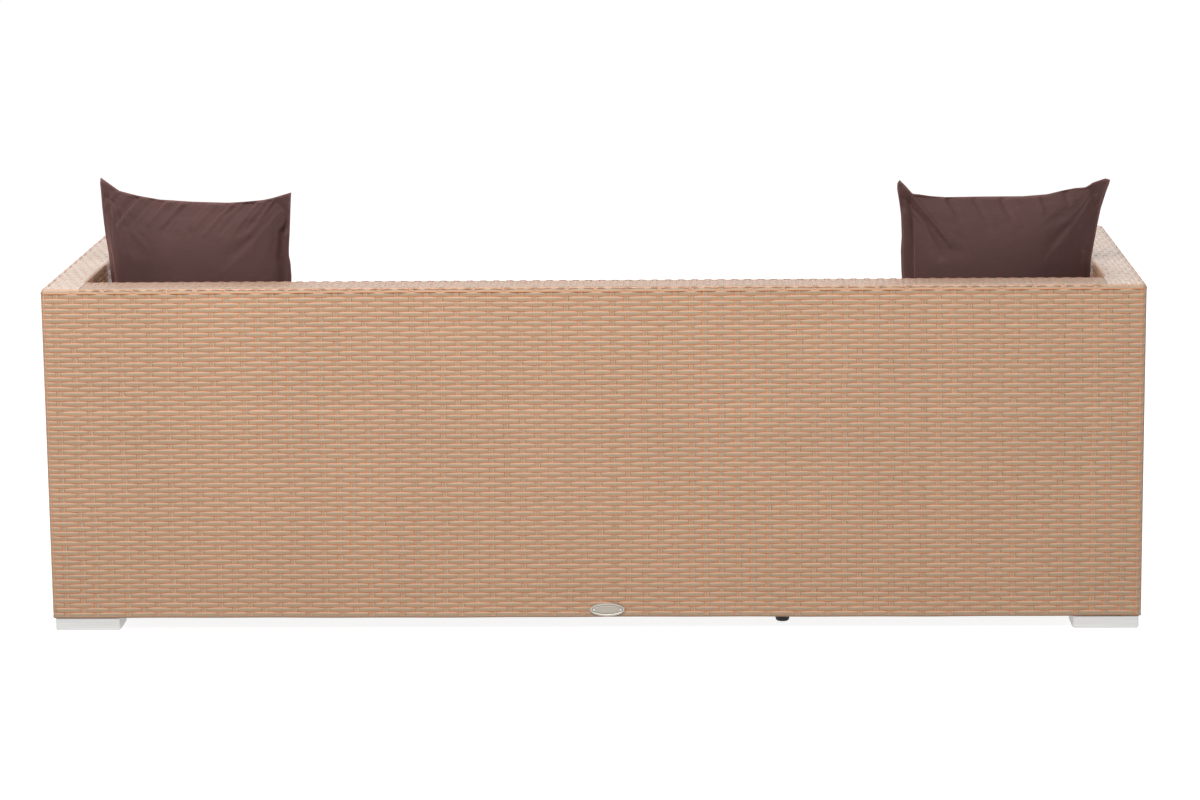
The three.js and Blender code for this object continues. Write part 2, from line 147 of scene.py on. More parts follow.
FOOT_GRAIN = (6, 6, 900)
PLATE_GRAIN = (20, 20, 1600)
PLATE_TURNS = 72
# Steps from the plate's edge to its middle: how far in, and how high as a share of its thickness
PLATE_STEPS = ((0, 0), (0, 0.6), (0.35 * MM, 0.9), (0.9 * MM, 1), (3.3 * MM, 1), (3.8 * MM, 0.75),
               (4.2 * MM, 0.5), (5.4 * MM, 0.5), (5.9 * MM, 0.75), (9.0 * MM, 0.82))

# Cloth of the covers

THREAD_PITCH = 1.2 * MM
SLUBS = (40, 600, 1)
CLOTH_FRAMES = 16
CLOTH = {"quality": 6, "mass": 0.3, "tension_stiffness": 15, "compression_stiffness": 15,
         "shear_stiffness": 5, "bending_stiffness": 0.05, "use_pressure": True}
EDGE_CROWDING = 1.25
# Where the other sheets of a cover lie on the flat cloth, in metres from the first
BOTTOM_SHEET = 2
BAND_SHEET = 5
FRONT_SHEET = 1

# Seat and back cushions

SEAT_CELLS = (56, 50)
BACK_CELLS = (56, 30)
CUSHION_PULL = 7 * MM
CUSHION_MOVE = 7 * MM
CORNER_RADIUS = 28 * MM
CROWN_SHARE = 0.19
DOME_POWER = 0.55
BOTTOM_ROUNDING = 8 * MM
BOTTOM_FLATNESS = 3
BAND_SWELL = 3 * MM
BAND_LEVELS = 9
FOAM_UNEVENNESS = 0.06
FOAM_LENGTHS = (0.21, 0.17)
# Waves of the foam: two that cross, then others, each with its share and how fast it runs across and along
FOAM_CROSSING = (1.7, 1.3)
FOAM_RIPPLES = ((0.5, 4.1, 2.3), (0.4, -1.9, 5.3))
PIPING_RADIUS = 3.2 * MM
PIPING_REACH = 5.4 * MM
PIPING_OUT = 0.5
PIPING_SIDES = 8
# How much lighter the piping is painted all over, as a share: a painted highlight.
PIPING_PAINTED_HIGHLIGHT = 0.2
# A cushion's axes: across, along and up through its thickness
LYING = np.array(((1, 0, 0), (0, 1, 0), (0, 0, 1)))
STANDING = np.array(((1, 0, 0), (0, 0, 1), (0, -1, 0)))

# Scatter pillows

PILLOW_CELLS = 106
PILLOW_SIZE = 424 * MM
PILLOW_THICKNESS = 132 * MM
PILLOW_PULL = 0.1
PILLOW_FULLNESS = 0.72
# How wide a band along a pillow's seam is painted lighter, and how strongly: a painted highlight.
PILLOW_SEAM_WIDTH = 9 * MM
SEAM_PAINTED_HIGHLIGHT = 0.99
PILLOW_LEAN = 9
PILLOW_MOVE = 12 * MM
PILLOW_SIDE_PIXELS = 212
# Above the arm a pillow may lean out over it by this share of its height there
OVER_ARM = 0.5
NEAR_IN_PLAN = 25 * MM
FOLD_FALL = 0.6
FOLD_MARGIN = 0.03
# Small folds along the top seam, as shares of half the pillow's size
PUCKER_SPAN = (-0.82, 0.78)
PUCKER_START = 0.985
PUCKER_JITTER = 0.03
PUCKER_LENGTHS = (0.1, 0.34)
PUCKER_WIDTHS = (0.014, 0.024)
PUCKER_HEIGHTS = (4 * MM, 7 * MM)
# Where the photograph shows the seam of each pillow, in pixels: its top from left to right, and its two
# sides downwards. A fold gives its two ends, its half width and its height. Puckers give a number and a lean.
PILLOWS = {
    "right": {
        "turn": 18, "roll": -2.5,
        "top": ((100.5, 177), (119.4, 190.6), (138, 195.4), (159.6, 199.2), (192.6, 201.4), (228.5, 202.4),
                (248.6, 201.1), (262.9, 199.7), (271.5, 198), (291.5, 192)),
        "left_side": ((100.5, 177), (99.8, 183), (100.9, 193), (102.1, 208), (103.7, 223), (105.8, 238),
                      (108.4, 253), (111, 277)),
        "right_side": ((291.5, 192), (291.2, 198), (290.5, 215), (290.1, 232), (289.2, 248), (289.3, 256),
                       (290.9, 263), (291.8, 276)),
        "folds": [
            ((0.99, 0.86), (0.78, 0.84), 0.022, -7 * MM),
            ((0.97, 0.98), (0.87, 0.9), 0.016, 5 * MM),
            ((-0.99, 0.74), (-0.92, 0.62), 0.016, -7 * MM),
            ((-0.925, 0.64), (-0.925, -0.9), 0.02, -9 * MM),
            ((-0.965, 0.6), (-0.965, -0.9), 0.02, 4 * MM),
        ],
        "puckers": (24, 0.7),
    },
    "left": {
        "turn": 8, "roll": 0,
        "top": ((899.5, 179.5), (904.9, 184.7), (912.8, 193.6), (920, 194.2), (931, 195.9), (946, 196.9),
                (976.8, 196.3), (1022.8, 195.9), (1047.3, 193.9), (1061, 190.5), (1074.8, 187.8),
                (1085.5, 187), (1094.7, 181.6), (1105.4, 178), (1110.5, 179.5)),
        "left_side": ((899.5, 179.5), (897, 183), (896.9, 189), (899, 201), (900.7, 215), (901.4, 236),
                      (900.5, 250), (901, 270)),
        "right_side": ((1110.5, 179.5), (1109.4, 184), (1106.6, 191), (1101.1, 208), (1098, 223),
                       (1094.6, 241), (1090.8, 263)),
        "folds": [
            ((0.82, 0.98), (0.5, 0.52), 0.02, 9 * MM),
            ((0.88, 0.96), (0.6, 0.4), 0.04, -11 * MM),
            ((0.86, 0.8), (0.88, -0.9), 0.022, -9 * MM),
            ((0.94, 0.7), (0.94, -0.9), 0.03, 6 * MM),
            ((0.52, 0.97), (0.44, 0.75), 0.03, 2.5 * MM),
            ((-0.1, 0.97), (-0.25, 0.75), 0.04, 2.5 * MM),
            ((-0.86, 0.35), (-0.96, 0.3), 0.018, -3 * MM),
        ],
        "puckers": (7, -0.4),
    },
}

# Floor and light

FLOOR_SIZE = 60
FLOOR_GLOW = 0.9
WORLD_LIGHT = 0.2
# Where each light hangs, the place that it points at, its width and height, and its power in watts
LIGHTS = {
    "softbox_back": ((0.6, 2.2, 2.75), (0, 0.2, 0.4), (5.0, 1.2), 124),
    "softbox_front": ((0, -3.4, 3.2), (0, 0, 0.4), (4.0, 1.6), 74),
}


# Shader nodes

class Graph:
    """The shader nodes of a material or of the world, and short ways to add to them."""

    def __init__(self, owner):
        owner.use_nodes = True
        self.tree = owner.node_tree

    def feed(self, node, inputs):
        """Sets a node's inputs, by name or number. Each is a value or another node's output."""
        for name, value in inputs.items():
            if isinstance(value, bpy.types.NodeSocket):
                self.tree.links.new(value, node.inputs[name])
            else:
                node.inputs[name].default_value = value

    def add(self, kind, inputs=None, **settings):
        node = self.tree.nodes.new("ShaderNode" + kind)
        for name, value in settings.items():
            setattr(node, name, value)
        self.feed(node, inputs or {})
        return node

    def math(self, operation, *values):
        return self.add("Math", dict(enumerate(values)), operation=operation).outputs[0]

    def noise(self, scale, detail=3, vector=None):
        """Noise in the object's own space or on a vector. Three scales, one an axis, draw it out to lines."""
        if vector is None:
            vector = self.add("TexCoord").outputs["Object"]
        if isinstance(scale, tuple):
            vector = self.add("Mapping", {"Scale": scale, "Vector": vector}).outputs["Vector"]
            scale = 1
        return self.add("TexNoise", {"Scale": scale, "Detail": detail, "Vector": vector}).outputs["Fac"]

    def spread(self, value, low, high):
        """A value between 0 and 1, spread between low and high."""
        return self.add("MapRange", {"Value": value, "To Min": low, "To Max": high}).outputs["Result"]

    def ramp(self, value, stops):
        """A colour that runs from stop to stop. Each stop is a place and a display colour."""
        node = self.add("ValToRGB", {"Fac": value})
        band = node.color_ramp
        while len(band.elements) < len(stops):
            band.elements.new(0.5)
        for element, (place, tone) in zip(band.elements, stops):
            element.position = place
            element.color = colour(*tone)
        return node.outputs["Color"]

    def mixed(self, share, first, second, blend="MIX"):
        inputs = {"Factor": share, 6: first, 7: second}
        return self.add("Mix", inputs, data_type="RGBA", blend_type=blend).outputs[2]

    def tinted(self, tone, amount):
        """tone made lighter or darker by amount, where 1 leaves it alone."""
        return self.mixed(1, tone, amount, "MULTIPLY")

    def bump(self, height, distance, strength, under=None):
        """The normal of a surface with a height on it, over another bump if one is given."""
        inputs = {"Height": height, "Distance": distance, "Strength": strength}
        if under is not None:
            inputs["Normal"] = under
        return self.add("Bump", inputs).outputs["Normal"]

    def attribute(self, name):
        return self.add("Attribute", attribute_name=name).outputs["Fac"]

    def seen(self):
        """1 for the camera and in metal and glass, and 0 for the light that falls on the object."""
        path = self.add("LightPath").outputs
        seen = self.math("MAXIMUM", path["Is Camera Ray"], path["Is Glossy Ray"])
        return self.math("MAXIMUM", seen, path["Is Transmission Ray"])


def colour(red, green, blue):
    """A display colour, 0 to 255, as the linear colour that Blender works in."""
    def linear(value):
        value /= 255
        return value / 12.92 if value <= 0.04045 else ((value + 0.055) / 1.055) ** 2.4
    return (linear(red), linear(green), linear(blue), 1)


# Materials

def new_material(name, look):
    """A material with a look: a function that adds nodes and gives what the shader's inputs take."""
    material = bpy.data.materials.new(name)
    graph = Graph(material)
    graph.feed(graph.tree.nodes["Principled BSDF"], look(graph))
    return material


def weave_look(graph):
    across = graph.attribute("across")
    share = graph.math("ADD", graph.math("MULTIPLY", across, 0.5), 0.5)
    # Across each strip: a grey middle between two lighter bands, the strip's own two tones, and orange edges,
    # which are painted shade with the bounce light of the gaps between strips. The edge on one side, the
    # lower one on the back's rows, is painted wider and more orange, as in shade, and the other side lighter,
    # as lit from above.
    stripes_and_painted_shade = graph.ramp(share, (
        (0.03, (200, 134, 88)),
        (0.09, (212, 168, 138)),
        (0.24, (207, 166, 139)),
        (0.31, (175, 154, 129)),
        (0.67, (173, 150, 122)),
        (0.74, (205, 154, 118)),
        (0.85, (213, 148, 106)),
        (0.93, (204, 130, 86)),
    ))
    # The tops of the arms, corners and rail are mixed towards a light grey-white: a painted highlight of the
    # light and glare that fall on them from above.
    top_highlighted = graph.mixed(graph.attribute("pale"), stripes_and_painted_shade, colour(209, 204, 198))
    worn = graph.spread(graph.noise(5), 0.93, 1.07)
    grooves = graph.math("COSINE", graph.math("MULTIPLY", across, GROOVE_TURN))
    return {
        "Base Color": graph.tinted(top_highlighted, graph.math("MULTIPLY", worn, graph.attribute("tint"))),
        "Roughness": graph.spread(graph.noise(60), 0.42, 0.54),
        "Specular IOR Level": 0.5,
        "Coat Weight": 0.1,
        "Coat Roughness": 0.28,
        "Normal": graph.bump(grooves, 0.12 * MM, 0.5),
    }


def tube_look(graph):
    speck = graph.noise(900, 2)
    return {
        "Base Color": graph.ramp(speck, ((0.3, (150, 118, 96)), (0.7, (166, 132, 108)))),
        "Roughness": graph.spread(speck, 0.42, 0.58),
        "Normal": graph.bump(speck, 0.2 * MM, 0.4),
    }


def foot_look(graph):
    grain = graph.noise(FOOT_GRAIN, 4)
    return {
        "Base Color": graph.ramp(grain, ((0.3, (188, 188, 187)), (0.7, (203, 203, 201)))),
        "Metallic": 0.92,
        "Roughness": graph.spread(grain, 0.34, 0.46),
        "Normal": graph.bump(grain, 0.1 * MM, 0.25),
    }


def plate_look(graph):
    grain = graph.noise(PLATE_GRAIN, 4)
    # Darker the deeper the plate lies below its rim: painted shade in its groove, its sunken middle and down
    # its outer side.
    tone = graph.ramp(graph.attribute("painted_recess_shade"), (
        (0.0, (178, 173, 164)), (0.25, (160, 153, 143)), (0.5, (130, 122, 111))))
    return {
        "Base Color": graph.tinted(tone, graph.spread(grain, 0.94, 1.06)),
        "Metallic": 0.8,
        "Roughness": graph.spread(grain, 0.3, 0.42),
        "Normal": graph.bump(grain, 0.08 * MM, 0.3),
    }


def fabric_look(graph):
    cloth = graph.add("UVMap", uv_map="cloth").outputs["UV"]
    slubs = graph.noise(SLUBS, 3, cloth)
    patches = graph.noise(7)
    blend = graph.math("ADD", graph.math("MULTIPLY", slubs, 0.4), graph.math("MULTIPLY", patches, 0.6))
    tone = graph.ramp(blend, ((0.3, (79, 55, 53)), (0.7, (94, 67, 64))))
    on_cloth = graph.add("SeparateXYZ", {0: cloth}).outputs
    warp, weft = (graph.math("SINE", graph.math("MULTIPLY", on_cloth[axis], 2 * math.pi / THREAD_PITCH))
                  for axis in (X, Y))
    threads = graph.bump(graph.math("MULTIPLY", warp, weft), 0.1 * MM, 0.5)
    return {
        # Towards the seams the cloth is painted up to twice as light: a painted highlight of the light rim
        # along them. The piping is painted a little lighter all over in the same way.
        "Base Color": graph.tinted(tone, graph.spread(graph.attribute("seam"), 1.0, 2.0)),
        "Roughness": graph.spread(patches, 0.72, 0.88),
        "Specular IOR Level": 0.3,
        "Sheen Weight": 1.0,
        "Sheen Roughness": 0.38,
        "Sheen Tint": colour(190, 140, 135),
        "Normal": graph.bump(slubs, 0.3 * MM, 0.3, threads),
    }


def glide_look(graph):
    scuffed = graph.noise(300)
    return {
        "Base Color": graph.ramp(scuffed, ((0.35, (18, 18, 19)), (0.75, (40, 39, 38)))),
        "Roughness": graph.spread(scuffed, 0.4, 0.65),
        "Normal": graph.bump(scuffed, 0.1 * MM, 0.3),
    }


WEAVE = new_material("sand_strip", weave_look)
FABRIC = new_material("brown_polyester", fabric_look)
# The names and looks of the materials of the frame's own solids, by their slots
SLOT_LOOKS = {
    "frame": ("powder_coated_tube", tube_look),
    "foot": ("satin_silver", foot_look),
    "rivet": ("satin_silver", foot_look),
    "glide": ("black_glide", glide_look),
}


# Meshes

def unit(vectors):
    return vectors / np.linalg.norm(vectors, axis=-1, keepdims=True)


def fade(distance, length):
    """0 at no distance and 1 from a length on, with a soft start and end."""
    share = np.clip(distance / length, 0, 1)
    return share * share * (3 - 2 * share)


def cell_corners(grid):
    """The four corners of every cell of a grid."""
    return np.stack([grid[:-1, :-1], grid[:-1, 1:], grid[1:, 1:], grid[1:, :-1]], 2)


def wrapped(numbers):
    """A grid of numbers with its first column once more behind its last."""
    return np.concatenate([numbers, numbers[:, :1]], axis=1)


def tube_faces(stations, points):
    """The faces of a tube that is open at its ends, from its number of rings and of points in a ring."""
    return cell_corners(wrapped(np.arange(stations * points).reshape(stations, points))).reshape(-1, 4)


def fill(values, name, numbers, kind=np.float32):
    """Hands numbers to one of Blender's lists."""
    values.foreach_set(name, np.asarray(numbers, kind).ravel())


def read_vectors(values, name="co"):
    """The vectors in one of Blender's lists."""
    flat = np.zeros(len(values) * 3, np.float32)
    values.foreach_get(name, flat)
    return flat.reshape(-1, 3).astype(float)


def set_values(mesh, name, values):
    """Gives each point of a mesh a value that its material reads."""
    fill(mesh.attributes.new(name, "FLOAT", "POINT").data, "value", values)


def turn_faces_out(mesh):
    work = bmesh.new()
    work.from_mesh(mesh)
    bmesh.ops.recalc_face_normals(work, faces=work.faces)
    work.to_mesh(mesh)
    work.free()


def new_piece(name, mesh):
    piece = bpy.data.objects.new(name, mesh)
    bpy.context.scene.collection.objects.link(piece)
    return piece


# Woven strips

class Strips:
    """Gathers closed flat strips and writes them as one mesh."""

    def __init__(self, width, pale, shade):
        self.width, self.pale, self.shade = width, pale, shade
        self.rings, self.tints = [], []

    def add(self, places, normals, width=None, tint=1.0):
        """Adds a strip along a line of places. normals is the way that its ridges face at each."""
        half = (width or self.width) / 2
        ahead = unit(np.gradient(places, axis=0))
        side = unit(np.cross(normals, ahead))
        out = np.cross(ahead, side)
        across, height = STRIP_PROFILE.T[:, None, :, None]
        self.rings.append(places[:, None] + side[:, None] * (across * half)
                          + out[:, None] * (height * STRIP_THICKNESS))
        # A strip's tone: the piece's painted shade, the hem's painted shade, and a random spread of its own.
        self.tints.append(self.shade * (tint + random.normal(0, TINT_SPREAD)))

    def faces(self):
        """The faces along all strips and those at their ends, and where each one's corners lie on the map."""
        sides, ends, on_map, first = [], [], [], 0
        points = len(STRIP_PROFILE)
        end = np.arange(points)
        for number, rings in enumerate(self.rings):
            last = first + (len(rings) - 1) * points
            sides.append(first + tube_faces(len(rings), points))
            ends += [first + end[::-1], last + end]
            run, turn = np.meshgrid(np.linspace(0, 1, len(rings)), np.arange(points + 1), indexing="ij")
            band = np.stack([run, turn / points * STRIP_MAP_SHARE + number], -1)
            on_map.append(cell_corners(band).reshape(-1, 2))
            first = last + points
        bands = np.repeat(np.arange(len(self.rings)), 2 * points)
        on_map.append(np.stack([0 * bands, bands], -1))
        return np.concatenate(sides), np.stack(ends), np.concatenate(on_map)

    def piece(self, name, material):
        vertices = np.concatenate(self.rings).reshape(-1, 3)
        sides, ends, on_map = self.faces()
        corners = np.concatenate([sides.ravel(), ends.ravel()])
        sizes = np.repeat([4, len(STRIP_PROFILE)], [len(sides), len(ends)])
        mesh = bpy.data.meshes.new(name)
        mesh.vertices.add(len(vertices))
        mesh.loops.add(len(corners))
        mesh.polygons.add(len(sizes))
        fill(mesh.vertices, "co", vertices)
        fill(mesh.loops, "vertex_index", corners, np.int32)
        fill(mesh.polygons, "loop_start", np.cumsum(sizes) - sizes, np.int32)
        fill(mesh.polygons, "loop_total", sizes, np.int32)
        fill(mesh.polygons, "use_smooth", sizes == 4, bool)
        across = STRIP_PROFILE[:, 0]
        set_values(mesh, "across", np.tile(across, len(vertices) // len(across)))
        set_values(mesh, "tint", np.repeat(self.tints, [rings[..., 0].size for rings in self.rings]))
        # How far each point is mixed towards light grey-white: a painted highlight on the tops.
        set_values(mesh, "pale", np.full(len(vertices), self.pale))
        on_map[:, 1] = (on_map[:, 1] + STRIP_MAP_MARGIN) / len(self.rings)
        fill(mesh.uv_layers.new(name="OFBake").data, "uv", on_map)
        mesh.materials.append(material)
        mesh.update(calc_edges=True)
        mesh.validate()
        return new_piece(name, mesh)


def wander(waves, along, across, seed):
    turns = 2 * math.pi
    return sum(share * np.sin(turns * (along * by_along + across * by_across + seed * by_seed))
               for share, by_along, by_across, by_seed in waves)


def stray(along, across, start, end, seed):
    """How far a strip wanders along and across the rows. It fades out towards both ends of a row."""
    near_end = fade(np.minimum(along - start, end - along), STRAY_FADE)
    return (STRAY_ALONG * wander(QUICK_WAVES, along, across, seed) * near_end,
            STRAY_ACROSS * wander(SLOW_WAVES, along, across, seed) * near_end)


class Zone:
    """A flat stretch of weave on one face of a wall. Rows run along one axis and uprights cross them.

    axes are those that the rows run along, that the uprights run along, and that the face looks along.
    plane is the face's place on the last, span the rows' two ends and reach the uprights' two ends.
    low and high are the wall's corners, where its edges are rounded; far away where they aren't.
    """

    def __init__(self, axes, plane, span, reach, rows, uprights, low, high,
                 parity=0, seed=0, straying=1.0, swing=STRIP_SWING, upright_width=UPRIGHT_WIDTH):
        self.axes, self.plane, self.span, self.reach = axes, plane, span, reach
        self.rows, self.uprights = rows, uprights
        self.low, self.high = np.array(low, float), np.array(high, float)
        self.parity, self.seed, self.straying, self.swing = parity, seed, straying, swing
        self.upright_width = upright_width
        self.hold = upright_width / 2 - HOLD_INSET

    def place(self, along, across):
        """Places on the wall's face and the ways out of it there, round its edges too."""
        move, lift = stray(along, across, *self.span, self.seed)
        points = np.zeros((len(along), 3))
        points[:, self.axes[0]] = along + move * self.straying
        points[:, self.axes[1]] = across + lift * self.straying
        points[:, self.axes[2]] = self.plane
        core = np.clip(points, self.low + EDGE_RADIUS, self.high - EDGE_RADIUS)
        normals = unit(points - core)
        return core + normals * EDGE_RADIUS, normals

    def strip(self, strips, along, across, level, width=None, tint=1.0):
        """Adds a strip. level is where it lies in the panel: 1 over, -1 under and 0 in the middle."""
        along, across, level = np.broadcast_arrays(along, across, level)
        surface, normals = self.place(along, across)
        depth = SLAB / 2 - level * self.swing
        strips.add(surface - normals * depth[:, None], normals, width, tint)

    def core(self, strips, place):
        """An upright that stays under every row, inside a corner."""
        across = np.linspace(self.reach[0] + EDGE_RADIUS, self.reach[1] - EDGE_RADIUS, CORE_POINTS)
        self.strip(strips, place, across, CORE_LEVEL)

    def hem(self, strips):
        """A narrow strip that binds the lower edge, painted darker: painted shade along the bottom edge."""
        along = np.unique(np.concatenate([np.linspace(*self.span, HEM_POINTS), edge_places(self.span)]))
        self.strip(strips, along, self.reach[0] + HEM_WIDTH / 2, HEM_LEVEL, HEM_WIDTH, HEM_PAINTED_SHADE)

    def over(self, index, number):
        """1 where a row passes over an upright, and -1 where it passes under it."""
        return 1 if (index + number + self.parity) % 2 == 0 else -1

    def row(self, strips, index):
        """A row passes over and under the uprights in turn."""
        start, end = self.span
        first, last = self.uprights[0], self.uprights[-1]
        stops = [(start, 0), (min(start + EDGE_RADIUS, first - self.hold - HOLD_GAP), 0)]
        for number, place in enumerate(self.uprights):
            over = self.over(index, number)
            stops += [(place - self.hold, over), (place + self.hold, over)]
        stops += [(max(end - EDGE_RADIUS, last + self.hold + HOLD_GAP), 0), (end, 0)]
        along, level = between(stops, ROW_STEPS, self.span)
        self.strip(strips, along, self.rows[index], level)

    def upright(self, strips, number):
        """An upright passes over the rows that pass under it."""
        stops = [(self.reach[0] + HEM_WIDTH / 4, 0)]
        for index, row in sorted(enumerate(self.rows), key=lambda pair: pair[1]):
            over = -self.over(index, number)
            stops += [(row - HOLD_HEIGHT, over), (row + HOLD_HEIGHT, over)]
        stops.append((self.reach[1], 0))
        across, level = between(stops, UPRIGHT_STEPS, self.reach)
        self.strip(strips, self.uprights[number], across, level, self.upright_width)


def edge_places(span):
    """Places on the rounded edges at both ends of a span."""
    edge = EDGE_STEPS * EDGE_RADIUS
    return np.concatenate([span[0] + edge, span[1] - edge])


def between(stops, steps, span):
    """Places and levels from one stop to the next, with more of them on the rounded edges."""
    places, levels = [], []
    for (start, low), (end, high) in zip(stops, stops[1:]):
        if end <= start + SAME_PLACE:
            continue
        share = np.arange(steps) / steps if low != high else np.zeros(1)
        places += list(start + (end - start) * share)
        levels += list(low + (high - low) * fade(share, 1))
    places.append(stops[-1][0])
    levels.append(stops[-1][1])
    every = np.unique(np.concatenate([places, edge_places(span)]))
    every = every[np.concatenate([[True], np.diff(every) > LEAST_STEP])]
    return every, np.interp(every, places, levels)


# Walls, rows and uprights, from the frame's own panels

def spaced(start, end, pitch, margin, last_margin=None):
    """Places about pitch apart, the first and the last a margin from start and end."""
    first, last = start + margin, end - (last_margin or margin)
    return np.linspace(first, last, round((last - first) / pitch) + 1)


def jittered(places, amount):
    return places + random.uniform(-amount, amount, len(places))


def inside(places, low, high):
    return places[(places > low) & (places < high)]


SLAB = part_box("back_outer_weave")[1][Y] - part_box("back_outer_weave")[0][Y]
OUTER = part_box("back_top_weave")[1]
INNER = Vector((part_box("right_arm_inner_weave")[0][X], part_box("back_inner_weave")[0][Y], 0))
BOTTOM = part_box("back_outer_weave")[0][Z]
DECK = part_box("seat_deck_weave")[1][Z]

ROW_HEIGHTS = np.arange(OUTER[Z] - FIRST_ROW, BOTTOM + STRIP_WIDTH / 2, -ROW_PITCH)
ROWS_ABOVE_DECK = ROW_HEIGHTS[ROW_HEIGHTS > DECK + DECK_CLEARANCE]
BACK_UPRIGHTS = jittered(spaced(-OUTER[X], OUTER[X], UPRIGHT_PITCH, *BACK_MARGINS), BACK_UPRIGHT_JITTER)
MIDDLE_UPRIGHTS = inside(BACK_UPRIGHTS, -INNER[X] + CORNER_CLEARANCE, INNER[X] - CORNER_CLEARANCE)
ARM_UPRIGHTS = jittered(spaced(-OUTER[Y], OUTER[Y], UPRIGHT_PITCH, WALL_MARGIN), ARM_UPRIGHT_JITTER)
BACK_TOP_ROWS = spaced(INNER[Y], OUTER[Y], ROW_PITCH, FIRST_ROW)
BACK_TOP_UPRIGHTS = jittered(spaced(-INNER[X], INNER[X], TOP_UPRIGHT_PITCH, TOP_MARGIN), TOP_UPRIGHT_JITTER)
ARM_TOP_ROWS = spaced(INNER[X], OUTER[X], ROW_PITCH, FIRST_ROW)
ARM_FRONT_UPRIGHTS = spaced(INNER[X], OUTER[X], UPRIGHT_PITCH, FRONT_MARGIN)


# Woven panels

def weave_piece(name, zones, node, rows=True, uprights=True, heights=(-FAR, FAR), cores=(), hem=False,
                pale=0.0, shade=1.0, width=STRIP_WIDTH):
    """One woven piece. heights limits the rows, and cores are the places of uprights inside a corner."""
    strips = Strips(width, pale, shade)
    for zone in zones:
        if rows:
            for index, place in enumerate(zone.rows):
                if heights[0] <= place < heights[1]:
                    zone.row(strips, index)
        if uprights:
            for number in range(len(zone.uprights)):
                zone.upright(strips, number)
        for place in cores:
            zone.core(strips, place)
        if hem:
            zone.hem(strips)
    piece = strips.piece(name, WEAVE)
    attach(piece, "frame")
    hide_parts(node)


def build_back_weave():
    full_height = (BOTTOM, OUTER[Z])
    outer = Zone((X, Z, Y), OUTER[Y], (-OUTER[X], OUTER[X]), full_height, ROW_HEIGHTS, BACK_UPRIGHTS,
                 (-OUTER[X], INNER[Y], -FAR), OUTER, seed=1)
    top = Zone((X, Y, Z), OUTER[Z], (-INNER[X], INNER[X]), (INNER[Y], OUTER[Y]), BACK_TOP_ROWS[::-1],
               BACK_TOP_UPRIGHTS, (-FAR, INNER[Y], -FAR), (FAR, OUTER[Y], OUTER[Z]),
               parity=1, seed=2, straying=RAIL_STRAYING, upright_width=TOP_UPRIGHT_WIDTH)
    inner = Zone((X, Z, Y), INNER[Y], (-INNER[X], INNER[X]), (DECK, OUTER[Z]), ROWS_ABOVE_DECK,
                 MIDDLE_UPRIGHTS, (-FAR, INNER[Y], -FAR), (FAR, FAR, OUTER[Z]), seed=3)
    half = sum(full_height) / 2
    weave_piece("back_outer_rows_lower", [outer], "back_outer_weave", uprights=False, heights=(-FAR, half))
    weave_piece("back_outer_rows_upper", [outer], "back_outer_weave", uprights=False, heights=(half, FAR))
    weave_piece("back_outer_uprights", [outer], "back_outer_weave", rows=False, cores=outer.span, hem=True)
    # The rail's top is painted darker all over, painted shade, and a little towards light grey-white, a
    # painted highlight.
    weave_piece("back_top_strips", [top], "back_top_weave", pale=RAIL_PAINTED_HIGHLIGHT, shade=RAIL_PAINTED_SHADE)
    weave_piece("back_corner_strips", [corner_zone(-1), corner_zone(1)], "back_top_weave", pale=TOP_PAINTED_HIGHLIGHT)
    weave_piece("back_inner_rows", [inner], "back_inner_weave", uprights=False)
    weave_piece("back_inner_uprights", [inner], "back_inner_weave", rows=False)


def arm_sides(sign):
    """The places (X) of an arm's two sides, the lower first."""
    return sorted((sign * INNER[X], sign * OUTER[X]))


def corner_zone(sign):
    """The square where an arm's top meets the back's, woven as the arm is."""
    sides = arm_sides(sign)
    low = (sides[0] if sign < 0 else -FAR, -FAR, -FAR)
    high = (sides[1] if sign > 0 else FAR, OUTER[Y], OUTER[Z])
    return Zone((Y, X, Z), OUTER[Z], (INNER[Y], OUTER[Y]), sides, sign * ARM_TOP_ROWS,
                inside(ARM_UPRIGHTS, INNER[Y], OUTER[Y]), low, high, straying=0, swing=TOP_SWING)


def build_arm_weave(side, sign):
    sides = arm_sides(sign)
    before_back = inside(ARM_UPRIGHTS, -OUTER[Y], INNER[Y] - CORNER_CLEARANCE)
    low = (sides[0], -OUTER[Y], -FAR)
    high = (sides[1], OUTER[Y], OUTER[Z])
    open_high = (sides[1], FAR, OUTER[Z])
    full_height = (BOTTOM, OUTER[Z])
    outer = Zone((Y, Z, X), sign * OUTER[X], (-OUTER[Y], OUTER[Y]), full_height, ROW_HEIGHTS, ARM_UPRIGHTS,
                 low, high, seed=5 + sign)
    top = Zone((Y, X, Z), OUTER[Z], (-OUTER[Y], INNER[Y]), sides, sign * ARM_TOP_ROWS, before_back,
               low, open_high, seed=8, straying=TOP_STRAYING, swing=TOP_SWING)
    inner = Zone((Y, Z, X), sign * INNER[X], (-OUTER[Y], INNER[Y]), (DECK, OUTER[Z]), ROWS_ABOVE_DECK,
                 before_back, low, open_high, seed=10 + sign)
    front = Zone((X, Z, Y), -OUTER[Y], sides, full_height, ROW_HEIGHTS, sign * ARM_FRONT_UPRIGHTS[::sign],
                 low, open_high, straying=0)
    for part, zone in (("outer", outer), ("top", top), ("inner", inner), ("front", front)):
        weave_piece(f"{side}_arm_{part}_strips", [zone], f"{side}_arm_{part}_weave",
                    cores=zone.span if part == "front" else (), hem=part in ("outer", "front"),
                    pale=TOP_PAINTED_HIGHLIGHT if part == "top" else 0.0)


